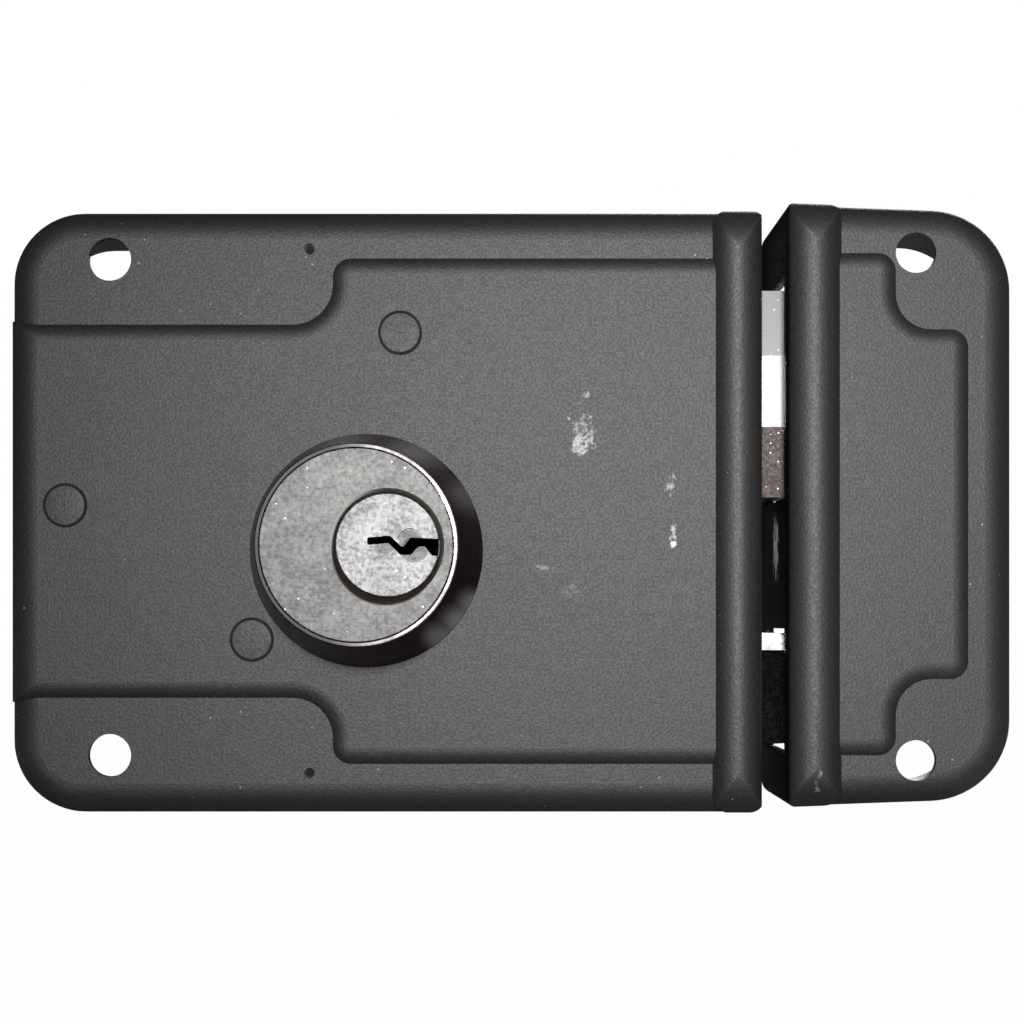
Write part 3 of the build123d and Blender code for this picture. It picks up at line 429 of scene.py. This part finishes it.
# Deadbolt. A thick steel bolt with a three-faceted front: the middle is ground bright, the upper bevel is
# left satin and the lower one brown and grainy. The stamped tail stays as it left the plating barrel.
UPPER_BEVEL = 0.0088
LOWER_BEVEL = 0.0094
ARRIS = 0.0001
GROUND = (0.42, 0.42, 0.42, 1)
SATIN = (0.23, 0.23, 0.23, 1)
BROWN_PIT = (0.042, 0.036, 0.034, 1)
BROWN_CREST = (0.088, 0.077, 0.072, 1)
BOLT_SAND = 2600.0
BOLT_ROUGH = (0.24, 0.5)
BOLT_RELIEF = 0.000008
bevelled, tree, shader, place = finish_of("bevelled_bolt_steel")
low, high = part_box("deadbolt_head")
upper_edge = high.z - UPPER_BEVEL
lower_edge = low.z + LOWER_BEVEL
drawn = placed(tree, lines, Place=place, Pitch=(900, 1200, 2400), Pit_Share=0.12)
skin = placed(tree, grain, Place=place, Grain=BOLT_SAND)
rise = along(tree, place, "Z")
upper = between(tree, rise, upper_edge - ARRIS, upper_edge + ARRIS)
lower = between(tree, rise, lower_edge + ARRIS, lower_edge - ARRIS)
brown = colours(tree, skin["Sand"], BROWN_PIT, BROWN_CREST)
colour = colours(tree, lower, colours(tree, upper, GROUND, SATIN), brown)
colour = colours(tree, sums(tree, "MULTIPLY", drawn["Pit"], 0.6), colour, BRIGHT_PIT)
tree.links.new(colour, shader.inputs["Base Color"])
shader.inputs["Metallic"].default_value = 1.0
beside = sums(tree, "MAXIMUM", upper, lower)
tree.links.new(between(tree, beside, 0.0, 1.0, *BOLT_ROUGH), shader.inputs["Roughness"])
relief(tree, shader, drawn["Height"], BOLT_RELIEF)
dressed(bevelled, "deadbolt_head")
dressed(zinc, "deadbolt_tail")

# Cylinder barrel. Turned, its face brushed across and satin nickel plated, with a sparkle of fine pits.
# The bevelled mouth round the plug has a painted highlight on the left and painted shade round its inner
# edge, and is darker at its bottom with grime and painted shade.
NICKEL_PITS = 0.03
NICKEL_SAND = 2300.0
NICKEL_RELIEF = 0.00002
SPARKLE = (0.95, 0.94, 0.93, 1)


def nickel(name, satin, bright, rough, strokes):
    """Nickel plating with its two tones, roughness and brush strokes per metre; its colour stays unwired."""
    material, tree, shader, place = finish_of(name)
    drawn = placed(tree, lines, Place=place, Pitch=strokes, Pit_Share=NICKEL_PITS)
    skin = placed(tree, grain, Place=place, Grain=NICKEL_SAND)
    tone = sums(tree, "MULTIPLY", drawn["Height"], 0.5)
    tone = sums(tree, "ADD", tone, sums(tree, "MULTIPLY", drawn["Tone"], 0.2))
    tone = sums(tree, "ADD", tone, sums(tree, "MULTIPLY", skin["Height"], 0.3))
    colour = colours(tree, between(tree, tone, 0.37, 0.63), satin, bright)
    colour = colours(tree, sums(tree, "MULTIPLY", drawn["Pit"], 0.7), colour, SPARKLE)
    shader.inputs["Metallic"].default_value = 1.0
    tree.links.new(between(tree, drawn["Height"], 0.3, 0.7, *rough), shader.inputs["Roughness"])
    relief(tree, shader, drawn["Height"], NICKEL_RELIEF)
    return material, tree, shader, place, colour


GRIME_AND_SHADE = (0.012, 0.008, 0.007, 1)
MOUTH_RADIUS = 0.00672
MOUTH_SHADE = (0.00642, 0.00654)
MOUTH_GRIME_AND_SHADE = (0.00627, 0.00662)
GRIME_AND_SHADE_DROP = (-0.00015, -0.0007)
MOUTH_HIGHLIGHT = (0.5, 0.49, 0.48, 1)
MOUTH_DULL = (0.06, 0.055, 0.05, 1)
MOUTH_DARK = (0.03, 0.027, 0.025, 1)
barrel_nickel, tree, shader, place, colour = nickel(
    "brushed_nickel_barrel",
    satin=(0.075, 0.074, 0.072, 1),
    bright=(0.205, 0.202, 0.197, 1),
    rough=(0.5, 0.6),
    strokes=(420, 900, 2600),
)
mouth = middle_of("plug")
bevel = spot_at(tree, place, mouth, MOUTH_RADIUS, MOUTH_RADIUS + 0.00006)
# The bevel has a painted highlight on its left and painted shade round its inner edge.
leftward = between(tree, along(tree, place, "X"), mouth[0], mouth[0] - 0.0055)
shade = spot_at(tree, place, mouth, *MOUTH_SHADE)
mouth_light_and_shade = colours(tree, shade, colours(tree, leftward, MOUTH_DULL, MOUTH_HIGHLIGHT), MOUTH_DARK)
# Low in the mouth it is darker with grime and painted shade.
lowered = (mouth[0] + GRIME_AND_SHADE_DROP[0], mouth[1] + GRIME_AND_SHADE_DROP[1])
grime_and_shade = spot_at(tree, place, lowered, *MOUTH_GRIME_AND_SHADE)
colour = colours(tree, grime_and_shade, colours(tree, bevel, colour, mouth_light_and_shade), GRIME_AND_SHADE)
tree.links.new(colour, shader.inputs["Base Color"])
tree.links.new(sums(tree, "SUBTRACT", 1.0, bevel), shader.inputs["Metallic"])
dressed(barrel_nickel, "cylinder_barrel")
dressed(zinc, "cylinder_nut")

# Plug. The same plating on brass, a little brighter, with shallow hollows milled beside the keyway that
# are darker inside with grime and painted shade, as its lowest edge is. Each hollow has its middle, from the
# plug's own, and its radius.
HOLLOWS = (((0.00265, 0.0006), 0.0014), ((-0.0003, -0.0001), 0.0012), ((0.0032, -0.0005), 0.00165))
HOLLOW_EDGE = (0.0003, 0.0001)
LOW_EDGE = (0.0052, 0.0068)
plug_nickel, tree, shader, place, colour = nickel(
    "satin_nickel_plug",
    satin=(0.1, 0.098, 0.095, 1),
    bright=(0.36, 0.355, 0.35, 1),
    rough=(0.5, 0.6),
    strokes=(1500, 900, 1900),
)
# The hollows are darkened with grime and painted shade.
for (x, z), radius in HOLLOWS:
    middle = (mouth[0] + x, mouth[1] + z)
    hollow = spot_at(tree, place, middle, radius - HOLLOW_EDGE[0], radius + HOLLOW_EDGE[1])
    colour = colours(tree, sums(tree, "MULTIPLY", hollow, 0.5), colour, GRIME_AND_SHADE)
# The lowest edge is darkened with grime and painted shade.
foot = between(tree, along(tree, place, "Z"), mouth[1] - LOW_EDGE[0], mouth[1] - LOW_EDGE[1])
colour = colours(tree, sums(tree, "MULTIPLY", foot, 0.6), colour, GRIME_AND_SHADE)
tree.links.new(colour, shader.inputs["Base Color"])
dressed(plug_nickel, "plug")

# Pins and caps. The pins that the key lifts, the pins above them and the caps that close their chambers,
# all turned from brass and left bare.
brass = metal(
    "pin_brass",
    dark=(0.62, 0.43, 0.17, 1),
    light=(0.74, 0.54, 0.25, 1),
    rough=(0.26, 0.4),
    pitch=(900, 900, 900),
    pit_share=0.02,
    pit_colour=(0.3, 0.2, 0.1, 1),
    depth=0.000004,
)
dressed(brass, "key_pins", "driver_pins", "chamber_caps")

# Rose. The tapered ring round the barrel, polished and black-nickel plated. Its rim at the mouth has a
# painted highlight on the right and painted shade on the left, and its side has patches of painted
# highlight, each with its middle, the distances from it where it starts and ends to fade, and how strong it
# is.
ROSE_HIGHLIGHTS = (
    ((0.0100, -0.0070), 0.0004, 0.0028, 0.8),
    ((0.0082, -0.0092), 0.0004, 0.0030, 0.9),
    ((0.0058, -0.0112), 0.0004, 0.0028, 0.8),
    ((0.0030, 0.0120), 0.0004, 0.0050, 0.5),
    ((0.0095, 0.0070), 0.0004, 0.0040, 0.4),
    ((-0.0060, 0.0125), 0.0004, 0.0050, 0.4),
)
SMOKE_BROWN = (0.1, 0.085, 0.08, 1)
SMOKE_PLUM = (0.15, 0.115, 0.15, 1)
SMOKE_EDGE = (0.26, 0.21, 0.24, 1)
SMOKE_ROUGH = (0.2, 0.5)
SMOKE_PITCH = (300, 500, 300)
ROSE_HIGHLIGHT = (0.9, 0.87, 0.89, 1)
ROSE_HIGHLIGHT_ROUGH = 0.62
RIM_DEPTH = (0.0005, 0.0001)
RIM_SHADE = (0.05, 0.048, 0.047, 1)
RIM_ACROSS = (-0.008, 0.004)
rose_nickel, tree, shader, place, rim_highlight = nickel(
    "smoked_nickel_rose",
    satin=(0.2, 0.19, 0.2, 1),
    bright=(0.42, 0.39, 0.43, 1),
    rough=(0.5, 0.58),
    strokes=(900, 900, 900),
)
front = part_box("cylinder_rose")[0].y
rim = between(tree, along(tree, place, "Y"), front + RIM_DEPTH[0], front + RIM_DEPTH[1])
drawn = placed(tree, lines, Place=place, Pitch=SMOKE_PITCH, Pit_Share=0.0)
side = colours(tree, between(tree, drawn["Tone"], 0.4, 0.6), SMOKE_BROWN, SMOKE_PLUM)
rough = between(tree, rim, 0.0, 1.0, *SMOKE_ROUGH)
metal_share = 1.0
# Each patch is a painted highlight: pale, rough and not metallic.
for middle, inner, outer, share in ROSE_HIGHLIGHTS:
    lit_patch = sums(tree, "MULTIPLY", spot_at(tree, place, middle, inner, outer), share)
    side = colours(tree, lit_patch, side, ROSE_HIGHLIGHT)
    rough = sums(tree, "MAXIMUM", rough, sums(tree, "MULTIPLY", lit_patch, ROSE_HIGHLIGHT_ROUGH))
    metal_share = sums(tree, "MINIMUM", metal_share, sums(tree, "SUBTRACT", 1.0, lit_patch))
# The rim is painted light on the right and dark as shade on the left.
rightward = between(tree, along(tree, place, "X"), *RIM_ACROSS)
colour = colours(tree, rim, side, colours(tree, rightward, RIM_SHADE, rim_highlight))
tree.links.new(colour, shader.inputs["Base Color"])
tree.links.new(rough, shader.inputs["Roughness"])
tree.links.new(metal_share, shader.inputs["Metallic"])
shader.inputs["Specular Tint"].default_value = SMOKE_EDGE
dressed(rose_nickel, "cylinder_rose")

# Strike. Pressed and enamelled like the case, and screwed to the post on the other side of the gap. Its
# wall in the gap is painted dark as shade and made dull, with a streaky painted highlight between the two
# bolt windows.
GLINT_STREAKS = (900, 4200, 160)
KNOCKED = (1500, 900, 1100)
strike_enamel = enamel(
    "strike_enamel",
    [
        # A painted glint: a pale streaky highlight on the wall between the two bolt windows.
        ((0.0502, -0.0138, 0.0010), (0.0016, 0.0046, 0.0076), GLINT_STREAKS, 0.78, 1.0),
        ((0.0540, -0.0258, -0.0292), (0.0010, 0.004, 0.0034), KNOCKED, 0.55, 0.3),
    ],
    wall=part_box("strike_cover")[0].x,
)
dressed(strike_enamel, "strike_cover")

# Floor: a plain white sheet that the lock stands on, lit from the front. It stays white to the camera and
# in the metal, and keeps a soft shadow.
FLOOR_REACH = 1.6
SHEET_SEEN = 0.985
SHEET_IN_METAL = 0.02
floor_mesh = bpy.data.meshes.new("floor")
turns = [(-1, -1), (1, -1), (1, 1), (-1, 1)]
corners = [(x * FLOOR_REACH, y * FLOOR_REACH, cad_low.z) for x, y in turns]
floor_mesh.from_pydata(corners, [], [(0, 1, 2, 3)])
floor = bpy.data.objects.new("floor", floor_mesh)
bpy.context.scene.collection.objects.link(floor)
floor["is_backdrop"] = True
sheet, tree, shader, place = finish_of("white_sheet")
shader.inputs["Base Color"].default_value = (0.3, 0.3, 0.3, 1)
shader.inputs["Roughness"].default_value = 0.9
shader.inputs["Specular IOR Level"].default_value = 0.1
glow = wired(tree, "Emission", {"Color": (1, 1, 1, 1), "Strength": 1.0})
path = wired(tree, "LightPath").outputs
seen = sums(tree, "ADD", path["Is Camera Ray"], path["Is Transmission Ray"])
in_metal = sums(tree, "MULTIPLY", path["Is Glossy Ray"], SHEET_IN_METAL)
seen = sums(tree, "ADD", sums(tree, "MULTIPLY", seen, SHEET_SEEN), in_metal)
mixed = wired(tree, "MixShader", {0: seen, 1: shader.outputs[0], 2: glow.outputs[0]})
tree.links.new(mixed.outputs[0], tree.nodes["Material Output"].inputs["Surface"])
floor_mesh.materials.append(sheet)

# Surroundings: white behind the lock, which its metal sees faintly, and a dim room for the light that
# falls on it.
ROOM = (0.031, 0.03, 0.029, 1)
WHITE_IN_METAL = 0.008
world = bpy.data.worlds.new("room")
bpy.context.scene.world = world
world.use_nodes = True
tree = world.node_tree
path = wired(tree, "LightPath").outputs
seen = sums(tree, "ADD", path["Is Camera Ray"], path["Is Transmission Ray"])
seen = sums(tree, "ADD", seen, sums(tree, "MULTIPLY", path["Is Glossy Ray"], WHITE_IN_METAL))
room = wired(tree, "Background", {"Color": ROOM, "Strength": 1.0})
white = wired(tree, "Background", {"Color": (1, 1, 1, 1), "Strength": 1.0})
mixed = wired(tree, "MixShader", {0: seen, 1: room.outputs[0], 2: white.outputs[0]})
tree.links.new(mixed.outputs[0], tree.nodes["World Output"].inputs["Surface"])

# Lamps: a small soft lamp beside the camera with a narrowed beam that leans to the right of the lock, and
# a broad one behind it, up on the right, that lights the back.


def lamp(name, at, towards, size, power, spread=180):
    """A round lamp, with its size in metres, power in watts and beam in degrees."""
    light = bpy.data.lights.new(name, "AREA")
    light.shape = "DISK"
    light.size = size
    light.energy = power
    light.spread = math.radians(spread)
    holder = bpy.data.objects.new(name, light)
    holder.location = at
    holder.rotation_euler = (Vector(towards) - Vector(at)).to_track_quat("-Z", "Y").to_euler()
    holder.visible_camera = False
    bpy.context.scene.collection.objects.link(holder)


lamp("camera_lamp", (0.002, -0.43, 0.050), (0.070, 0, 0.022), size=0.05, power=0.235, spread=62)
lamp("back_lamp", (0.35, 1.0, 0.45), (0, 0, 0), size=0.5, power=11.0)

# Camera, square to the lock and a little right of and below the key's axis. Its lens and shift are given
# in pixels of the frame.
FRAME = 1024
LENS = 1966
SENSOR = 36
SHIFT = (16, 108)
camera = bpy.data.cameras.new("camera")
camera.sensor_width = SENSOR
camera.lens = SENSOR * LENS / FRAME
camera.shift_x = SHIFT[0] / FRAME
camera.shift_y = SHIFT[1] / FRAME
camera.clip_start = 0.01
holder = bpy.data.objects.new("camera", camera)
holder.location = (0.01288, -0.276, -0.00889)
holder.rotation_euler = Vector((0, 1, 0)).to_track_quat("-Z", "Y").to_euler()
bpy.context.scene.collection.objects.link(holder)
bpy.context.scene.camera = holder
bpy.context.scene.view_settings.view_transform = "Standard"

low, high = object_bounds()
